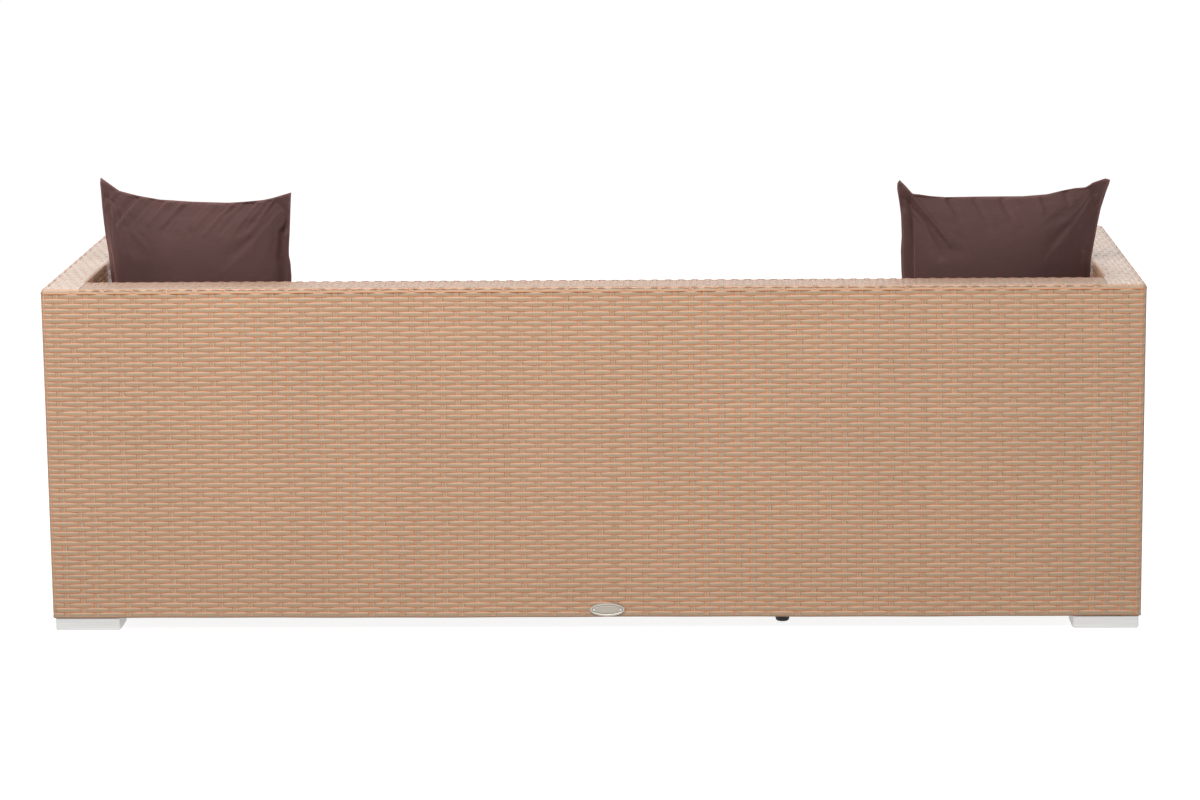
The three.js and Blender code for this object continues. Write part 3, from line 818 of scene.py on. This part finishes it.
def build_apron_weave():
    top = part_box("front_apron_weave")[1][Z]
    end = INNER[X] + APRON_TUCK
    rows = ROW_HEIGHTS[ROW_HEIGHTS < top - STRIP_WIDTH / 2]
    zone = Zone((X, Z, Y), -OUTER[Y], (-end, end), (BOTTOM, top), rows, MIDDLE_UPRIGHTS,
                (-FAR, -OUTER[Y], -FAR), (FAR, FAR, top), seed=14)
    weave_piece("front_apron_strips", [zone], "front_apron_weave", hem=True)


def build_deck_weave():
    low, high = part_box("seat_deck_weave")
    rows = spaced(low[Y], high[Y], DECK_ROW_PITCH, DECK_ROW_PITCH / 2)
    uprights = spaced(low[X], high[X], DECK_UPRIGHT_PITCH, WALL_MARGIN)
    zone = Zone((X, Y, Z), DECK, (low[X], high[X]), (low[Y], high[Y]), rows, uprights,
                (-FAR, -FAR, -FAR), (FAR, FAR, DECK), straying=0)
    weave_piece("seat_deck_strips", [zone], "seat_deck_weave", width=DECK_STRIP_WIDTH)


# Oval plate at the foot of the back

def build_plate():
    """A bare oval plate with a raised rim and a fine line inside it."""
    low, high = (np.array(corner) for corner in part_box("oval_plate"))
    middle, half = (low + high) / 2, (high - low) / 2
    turn = np.arange(PLATE_TURNS) / PLATE_TURNS * 2 * math.pi
    rings = np.zeros((len(PLATE_STEPS), PLATE_TURNS, 3))
    for ring, (inset, height) in zip(rings, PLATE_STEPS):
        ring[:, X] = middle[X] + (half[X] - inset) * np.cos(turn)
        ring[:, Y] = low[Y] + (high[Y] - low[Y]) * height
        ring[:, Z] = middle[Z] + (half[Z] - inset) * np.sin(turn)
    points = rings.reshape(-1, 3)
    end = np.arange(PLATE_TURNS)
    ends = [end[::-1].tolist(), (end + len(points) - PLATE_TURNS).tolist()]
    mesh = bpy.data.meshes.new("bare_oval_plate")
    mesh.from_pydata(points.tolist(), [], ends + tube_faces(len(PLATE_STEPS), PLATE_TURNS).tolist())
    turn_faces_out(mesh)
    heights = np.array([height for _, height in PLATE_STEPS])
    # How far below the rim each ring lies, which the plate's material paints as shade.
    set_values(mesh, "painted_recess_shade", np.repeat(1 - heights, PLATE_TURNS))
    mesh.materials.append(new_material("stamped_plate", plate_look))
    piece = new_piece("bare_oval_plate", mesh)
    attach(piece, "frame")
    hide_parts("oval_plate")


# Sewn covers

class Cover:
    """A sewn cover: sheets of points in rows and columns that share the points along their seams."""

    def __init__(self):
        self.points = np.zeros((0, 3))
        self.faces = []
        self.corners = []

    def numbered(self, places):
        """Adds a grid of points and gives the grid of their numbers."""
        first = len(self.points)
        self.points = np.concatenate([self.points, places.reshape(-1, 3)])
        return first + np.arange(places[..., 0].size).reshape(places.shape[:-1])

    def sheet(self, numbers, cloth):
        """Joins a grid of points with faces. cloth is where each lies on the flat cloth, in metres."""
        self.faces.append(cell_corners(numbers).reshape(-1, 4))
        self.corners.append(cell_corners(cloth).reshape(-1, 2))

    def piece(self, name, seam):
        """Writes the cover as one mesh. seam is how near to a seam each point is, from 0 to 1; the material
        paints the cloth lighter by it, a painted highlight.
        """
        mesh = bpy.data.meshes.new(name)
        mesh.from_pydata(self.points.tolist(), [], np.concatenate(self.faces).tolist())
        fill(mesh.uv_layers.new(name="cloth").data, "uv", np.concatenate(self.corners))
        set_values(mesh, "seam", seam)
        turn_faces_out(mesh)
        fill(mesh.polygons, "use_smooth", np.ones(len(mesh.polygons)), bool)
        return new_piece(name, mesh)


def edge_spaced(cells):
    """Places from -1 to 1, closer together towards both ends."""
    even = np.linspace(-1, 1, cells + 1)
    return np.sign(even) * (1 - (1 - np.abs(even)) ** EDGE_CROWDING)


def border(grid):
    """The border of a grid as one closed line."""
    return np.concatenate([grid[0, :-1], grid[:-1, -1], grid[-1, :0:-1], grid[:0:-1, 0], grid[:1, 0]])


def start_cloth(piece, pressure, slack, seam_slack, held):
    """Adds the cloth that swells a cover. slack is how much longer the cloth is than its first shape."""
    near = np.zeros(len(piece.data.vertices), np.float32)
    piece.data.attributes["seam"].data.foreach_get("value", near)
    panel = piece.vertex_groups.new(name="panel")
    panel.add(np.flatnonzero(near < 1).tolist(), 1, "REPLACE")
    settings = piece.modifiers.new("cloth", "CLOTH").settings
    for name, value in CLOTH.items():
        setattr(settings, name, value)
    settings.uniform_pressure_force = pressure
    settings.effector_weights.gravity = 0
    settings.vertex_group_shrink = "panel"
    settings.shrink_min = -seam_slack
    settings.shrink_max = -slack
    if held:
        pins = piece.vertex_groups.new(name="pins")
        pins.add(np.flatnonzero(near == 1).tolist(), 1, "REPLACE")
        settings.vertex_group_mass = "pins"


def swelled(pieces, most):
    """Runs the cloth of all covers together, leaves no Cloth modifier, and gives each one's points.

    They are held within a distance, most, of where they were first.
    """
    firsts = [read_vectors(piece.data.vertices) for piece in pieces]
    shapes = firsts
    for step in range(1, CLOTH_FRAMES + 1):
        bpy.context.scene.frame_set(step)
    graph = bpy.context.evaluated_depsgraph_get()
    shapes = [read_vectors(piece.evaluated_get(graph).data.vertices) for piece in pieces]
    for piece in pieces:
        piece.modifiers.remove(piece.modifiers["cloth"])
    bpy.context.scene.frame_set(1)
    return [capped(shape, first, most) for shape, first in zip(shapes, firsts)]


def capped(points, first, most):
    """points, each held within a distance of where it was first."""
    move = points - first
    length = np.linalg.norm(move, axis=1)[:, None] + TINY
    return first + move / length * most * np.tanh(length / most)


def set_points(mesh, points):
    fill(mesh.vertices, "co", points)
    mesh.update()


def finished_cover(piece, node):
    smoother = piece.modifiers.new("rounder", "SUBSURF")
    smoother.levels = smoother.render_levels = 1
    piece.data.materials.append(FABRIC)
    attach(piece, node)
    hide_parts(node)


# Seat and back cushions

def in_plan(u, v, half):
    """A panel point's place in plan. The corners are rounded and the sides pull in between them."""
    wide = half[0] - CUSHION_PULL * (1 - v ** 4)
    long = half[1] - CUSHION_PULL * (1 - u ** 4)
    place = np.stack([u * wide, v * long], -1)
    reach = np.stack([wide, long], -1) - CORNER_RADIUS
    core = np.clip(place, -reach, reach)
    away = place - core
    length = np.linalg.norm(away, axis=-1, keepdims=True)
    longest = np.abs(away).max(-1, keepdims=True)
    return core + away * longest / np.maximum(length, TINY)


def waviness(plan):
    """How much lower a panel is at each place, as a share: foam isn't evenly full."""
    turns = random.uniform(0, 2 * math.pi, 4)
    x, y = plan[..., 0] / FOAM_LENGTHS[0], plan[..., 1] / FOAM_LENGTHS[1]
    waves = np.sin(x * FOAM_CROSSING[0] + turns[0]) * np.sin(y * FOAM_CROSSING[1] + turns[1])
    for (share, by_x, by_y), turn in zip(FOAM_RIPPLES, turns[2:]):
        waves += share * np.sin(x * by_x + y * by_y + turn)
    return FOAM_UNEVENNESS * waves


def box_cushion(node, axes, cells):
    """The cover of one box cushion: two panels, and a band between their two seams."""
    low, high = (np.array(corner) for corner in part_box(node))
    across, along, up = axes
    half = (high - low) @ np.abs(axes).T / 2
    thick = half[2] * 2
    ground = (low + high) / 2 - up * half[2]
    plan_half = half[:2] - PIPING_REACH
    u, v = np.meshgrid(edge_spaced(cells[0]), edge_spaced(cells[1]))
    plan = in_plan(u, v, plan_half)
    dome = ((1 - u ** 2) * (1 - v ** 2)) ** DOME_POWER
    top_seam = thick - CROWN_SHARE * thick

    def placed(spots, height):
        return (ground + spots[..., :1] * across + spots[..., 1:] * along
                + np.asarray(height)[..., None] * up)

    cover = Cover()
    crown = (thick - top_seam) * dome * (1 - waviness(plan))
    top = cover.numbered(placed(plan, top_seam + crown))
    bottom_height = BOTTOM_ROUNDING * (1 - np.clip(BOTTOM_FLATNESS * dome, 0, 1))
    bottom = cover.numbered(placed(plan, bottom_height))
    rim = border(np.arange(u.size).reshape(u.shape))
    edge = plan.reshape(-1, 2)[rim]
    share = np.linspace(0, 1, BAND_LEVELS + 1)[1:-1, None]
    swell = 1 + BAND_SWELL * np.sin(share * math.pi) / plan_half.min()
    heights = top_seam + (BOTTOM_ROUNDING - top_seam) * share
    ring_heights = np.repeat(heights, len(edge) - 1, axis=1)
    rings = cover.numbered(placed(edge[None, :-1] * swell[..., None], ring_heights))
    band = np.concatenate([top.reshape(-1)[rim][None], wrapped(rings), bottom.reshape(-1)[rim][None]])
    run = np.concatenate([[0], np.cumsum(np.linalg.norm(np.diff(edge, axis=0), axis=1))])
    depth = np.linspace(top_seam, BOTTOM_ROUNDING, BAND_LEVELS + 1)
    cover.sheet(top, plan)
    cover.sheet(bottom, plan + BOTTOM_SHEET)
    cover.sheet(band, np.stack(np.broadcast_arrays(run[None], depth[:, None]), -1) + BAND_SHEET)
    # The seams are held in the cloth, and the material paints them lighter: a painted highlight.
    seam = np.zeros(len(cover.points))
    seam[band[[0, -1]]] = 1
    piece = cover.piece(node.replace("_cushion", "_cushion_cover"), seam)
    start_cloth(piece, pressure=1.5, slack=0.03, seam_slack=0.0, held=True)
    seams = [cover.points[band[row, :-1]] for row in (0, -1)]
    return piece, seams, edge[:-1]


def piping(node, axes, seams, edge):
    """A cord sewn along each seam, as closed tubes in one mesh. edge is the seams' line in plan."""
    ahead = np.roll(edge, -1, axis=0) - np.roll(edge, 1, axis=0)
    away = unit(np.stack([ahead[:, 1], -ahead[:, 0]], -1))
    away *= np.sign((away * edge).sum())
    outward = away[:, :1] * axes[0] + away[:, 1:] * axes[1]
    angles = np.arange(PIPING_SIDES) / PIPING_SIDES * 2 * math.pi
    cover = Cover()
    for seam in seams:
        middle = seam + outward * PIPING_RADIUS * PIPING_OUT
        tube = wrapped(cover.numbered(
            middle[:, None]
            + outward[:, None] * (np.cos(angles) * PIPING_RADIUS)[None, :, None]
            + axes[2] * (np.sin(angles) * PIPING_RADIUS)[None, :, None]))
        closed = np.concatenate([tube, tube[:1]])
        cover.sheet(closed, np.zeros((*closed.shape, 2)))
    # The whole cord is painted a little lighter: a painted highlight.
    return cover.piece(node.replace("_cushion", "_cushion_piping"), np.full(len(cover.points), PIPING_PAINTED_HIGHLIGHT))


def build_cushions():
    """All six box cushions. Each is a cover that cloth simulation puckers along its held seams."""
    made = []
    for place in ("left", "middle", "right"):
        for kind, axes, cells in (("seat", LYING, SEAT_CELLS), ("back", STANDING, BACK_CELLS)):
            node = f"{kind}_cushion_{place}"
            made.append((node, axes, *box_cushion(node, axes, cells)))
    shapes = swelled([piece for _, _, piece, _, _ in made], CUSHION_MOVE)
    for (node, axes, piece, seams, edge), shape in zip(made, shapes):
        set_points(piece.data, np.clip(shape, *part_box(node)))
        finished_cover(piece, node)
        finished_cover(piping(node, axes, seams, edge), node)


# Scatter pillows

def pillow_places(u, v, face):
    """A sewn square whose sides pull in between its corners and whose middle is full."""
    width = PILLOW_SIZE / 2 * u * (1 - PILLOW_PULL * (1 - v ** 4))
    height = PILLOW_SIZE / 2 * v * (1 - PILLOW_PULL * (1 - u ** 4))
    full = np.clip((1 - u * u) * (1 - v * v), 0, 1) ** PILLOW_FULLNESS
    return np.stack([width, PILLOW_THICKNESS / 2 * full * face, height], -1)


def inward(flat):
    """How far each point lies from the seam on the flat cloth, as a share of half the pillow's size."""
    return 1 - np.abs(flat[:, :2]).max(1)


def pillow_cover(name):
    """A pillow's cover, each point's place on the flat cloth with 1 behind and -1 in front, and its grid."""
    steps = edge_spaced(PILLOW_CELLS)
    u, v = np.meshgrid(steps, steps)
    cover = Cover()
    back = cover.numbered(pillow_places(u, v, 1))
    front = back.copy()
    inner = (slice(1, -1), slice(1, -1))
    front[inner] = cover.numbered(pillow_places(u[inner], v[inner], -1))
    cloth = np.stack([u, v], -1) * PILLOW_SIZE / 2
    cover.sheet(back, cloth)
    cover.sheet(front, cloth + FRONT_SHEET)
    flat = np.zeros((len(cover.points), 3))
    flat[front] = np.stack([u, v, np.full(u.shape, -1)], -1)
    flat[back] = np.stack([u, v, np.ones(u.shape)], -1)
    flat[border(back), 2] = 0
    # The cloth near the seam is painted lighter: a painted highlight.
    seam = SEAM_PAINTED_HIGHLIGHT * (1 - fade(inward(flat) * PILLOW_SIZE / 2, PILLOW_SEAM_WIDTH))
    seam[border(back)] = 1
    piece = cover.piece(name, seam)
    start_cloth(piece, pressure=1.0, slack=-0.001, seam_slack=-0.035, held=False)
    return piece, flat, back


def seen_at(pixel, depth):
    """The point at a depth (Y) that the photograph shows at a pixel."""
    right, up, ahead = (np.array(axis) for axis in camera_axes())
    aim = ahead * PHOTO_FOCAL + right * (pixel[0] - PHOTO_WIDTH / 2) + up * (PHOTO_HEIGHT / 2 - pixel[1])
    start = np.array(CAMERA_PLACE)
    return start + aim * (depth - start[1]) / aim[1]


def edge_moves(points, places, pixels, length=None):
    """How far each point of one edge of a pillow moves, to lie where the photograph shows the edge.

    places run from 1 at the first pixel to -1. length is the whole edge's, in pixels. The moves fade out
    along the part that the photograph hides.
    """
    pixels = np.array(pixels, float)
    run = np.concatenate([[0], np.cumsum(np.linalg.norm(np.diff(pixels, axis=0), axis=1))])
    marks = 1 - 2 * run / (length or run[-1])
    moves = np.zeros((len(points), 3))
    for number, (point, place) in enumerate(zip(points, places)):
        shown = max(place, marks[-1])
        pixel = [np.interp(shown, marks[::-1], pixels[::-1, axis]) for axis in (0, 1)]
        moves[number] = seen_at(pixel, point[1]) - point
    hidden = places < marks[-1]
    if hidden.any():
        last = moves[np.argmin(np.where(hidden, np.inf, places))]
        moves[hidden] = last * ((places[hidden] + 1) / (marks[-1] + 1))[:, None]
    return moves


def drawn_to(points, flat, back, facts):
    """Moves a pillow's seam to where the photograph shows it, and the cloth between smoothly with it."""
    steps = edge_spaced(PILLOW_CELLS)
    top = edge_moves(points[back[-1]], steps, facts["top"])
    left, right = (edge_moves(points[back[:, column]], steps, facts[name], PILLOW_SIDE_PIXELS)
                   for column, name in ((-1, "left_side"), (0, "right_side")))

    def along(moves, places):
        return np.stack([np.interp(places, steps, moves[:, axis]) for axis in (X, Y, Z)], -1)

    up = (1 + flat[:, 1:2]) / 2
    across = (1 + flat[:, :1]) / 2
    from_top = up * along(top, flat[:, 0])
    from_sides = across * along(left, flat[:, 1]) + (1 - across) * along(right, flat[:, 1])
    counted_twice = up * (across * top[-1] + (1 - across) * top[0])
    return points + from_top + from_sides - counted_twice


def folded(points, normals, flat, folds):
    """Raises or sinks the cloth along short lines on its back."""
    lift = np.zeros(len(points))
    for start, end, width, height in folds:
        start, end = np.array(start), np.array(end)
        line = end - start
        share = np.clip((flat[:, :2] - start) @ line / (line @ line), 0, 1)
        apart = np.linalg.norm(flat[:, :2] - start - share[:, None] * line, axis=1)
        lift += height * np.exp(-(apart / width) ** 2) * (1 - FOLD_FALL * share)
    lift *= (flat[:, 2] > 0) * fade(inward(flat), FOLD_MARGIN)
    return points + normals * lift[:, None]


def puckers(count, lean):
    """Small folds that run from the top seam into the cloth."""
    folds = []
    for place in np.linspace(*PUCKER_SPAN, count):
        place += random.uniform(-PUCKER_JITTER, PUCKER_JITTER)
        length = random.uniform(*PUCKER_LENGTHS)
        height = random.choice([-1, 1]) * random.uniform(*PUCKER_HEIGHTS)
        width = random.uniform(*PUCKER_WIDTHS)
        folds.append(((place, PUCKER_START), (place + lean * length, PUCKER_START - length), width, height))
    return folds


def seat_height(points, side):
    """The height of the top of one side's seat cushion under each point."""
    cover = bpy.data.objects[f"seat_cushion_cover_{side}"]
    top = read_vectors(cover.data.vertices)[:(SEAT_CELLS[0] + 1) * (SEAT_CELLS[1] + 1)]
    heights = np.full(len(points), -FAR)
    low = np.flatnonzero(points[:, Z] < top[:, Z].max() + CLEAR)
    apart = ((points[low, None, :2] - top[None, :, :2]) ** 2).sum(-1)
    near = apart.min(1) < NEAR_IN_PLAN ** 2
    heights[low[near]] = top[apart.argmin(1)[near], Z] + CLEAR
    return heights


def place_pillow(side, piece, flat, back, shape):
    """Turns a pillow to its pose in the photograph, draws it to its seams there and fits it in."""
    facts = PILLOWS[side]
    sign = SIDES[side]
    node = f"scatter_pillow_{side}"
    low, high = (np.array(corner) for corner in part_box(node))
    turn = (Matrix.Rotation(math.radians(-sign * facts["turn"]), 3, "Z")
            @ Matrix.Rotation(math.radians(-PILLOW_LEAN), 3, "X")
            @ Matrix.Rotation(math.radians(sign * facts["roll"]), 3, "Y"))
    shape = shape @ np.array(turn).T
    shape += (low + high) / 2 - (shape.min(0) + shape.max(0)) / 2
    shape = drawn_to(shape, flat, back, facts)
    set_points(piece.data, shape)
    normals = read_vectors(piece.data.vertex_normals, "vector")
    shape = folded(shape, normals, flat, facts["folds"] + puckers(*facts["puckers"]))
    over_arm = np.maximum(shape[:, Z] - OUTER[Z], 0) * OVER_ARM
    shape[:, X] = np.minimum(shape[:, X] * sign, INNER[X] - CLEAR + over_arm) * sign
    shape[:, Y] = np.minimum(shape[:, Y], high[Y])
    shape[:, Z] = np.maximum(shape[:, Z], seat_height(shape, side))
    set_points(piece.data, shape)
    finished_cover(piece, node)


def build_pillows():
    """Both scatter pillows. Cloth simulation swells them before they are placed."""
    made = [pillow_cover(f"pillow_{side}") for side in SIDES]
    shapes = swelled([piece for piece, _, _ in made], PILLOW_MOVE)
    for side, cover, shape in zip(SIDES, made, shapes):
        place_pillow(side, *cover, shape)


# Floor, camera and light

def floor_look(graph):
    return {
        "Base Color": (0.55, 0.55, 0.55, 1),
        "Roughness": 0.9,
        "Specular IOR Level": 0,
        "Emission Color": (1, 1, 1, 1),
        "Emission Strength": graph.math("MULTIPLY", graph.seen(), FLOOR_GLOW),
    }


def build_floor():
    bpy.ops.mesh.primitive_plane_add(size=FLOOR_SIZE)
    floor = bpy.context.object
    floor.name = "floor"
    floor.data.materials.append(new_material("pale_floor", floor_look))


def build_world():
    world = bpy.data.worlds.new("studio")
    graph = Graph(world)
    graph.feed(graph.tree.nodes["Background"], {
        "Color": (1, 1, 1, 1),
        "Strength": graph.spread(graph.seen(), WORLD_LIGHT, 1.0),
    })
    bpy.context.scene.world = world


def area_light(name, place, target, size, power):
    light = bpy.data.lights.new(name, "AREA")
    light.shape = "RECTANGLE"
    light.size, light.size_y = size
    light.energy = power
    lamp = bpy.data.objects.new(name, light)
    lamp.location = place
    lamp.rotation_euler = (Vector(target) - Vector(place)).to_track_quat("-Z", "Y").to_euler()
    bpy.context.scene.collection.objects.link(lamp)


def camera_axes():
    """The camera's right, up and ahead."""
    ahead = Vector((math.sin(CAMERA_YAW) * math.cos(CAMERA_PITCH),
                    -math.cos(CAMERA_YAW) * math.cos(CAMERA_PITCH), -math.sin(CAMERA_PITCH)))
    level = ahead.cross(Vector((0, 0, 1))).normalized()
    upright = level.cross(ahead)
    right = level * math.cos(CAMERA_ROLL) + upright * math.sin(CAMERA_ROLL)
    up = upright * math.cos(CAMERA_ROLL) - level * math.sin(CAMERA_ROLL)
    return right, up, ahead


def build_camera():
    data = bpy.data.cameras.new("photo_camera")
    data.sensor_width = SENSOR_WIDTH
    data.lens = SENSOR_WIDTH * PHOTO_FOCAL / PHOTO_WIDTH
    data.clip_end = FAR
    right, up, ahead = camera_axes()
    camera = bpy.data.objects.new("photo_camera", data)
    camera.matrix_world = Matrix.Translation(CAMERA_PLACE) @ Matrix((right, up, -ahead)).transposed().to_4x4()
    bpy.context.scene.collection.objects.link(camera)
    bpy.context.scene.camera = camera


build_camera()
build_floor()
build_world()
for name, facts in LIGHTS.items():
    area_light(name, *facts)
build_back_weave()
for side, sign in SIDES.items():
    build_arm_weave(side, sign)
build_apron_weave()
build_deck_weave()
build_plate()
build_cushions()
build_pillows()

finishes = {slot: new_material(*looks) for slot, looks in SLOT_LOOKS.items()}
for row in frame["record"]["subparts"]:
    finish = finishes.get(row["material_slot"])
    if finish:
        materials = frame["nodes"][row["node"]].data.materials
        materials.clear()
        materials.append(finish)

bpy.context.scene.view_settings.view_transform = "Standard"
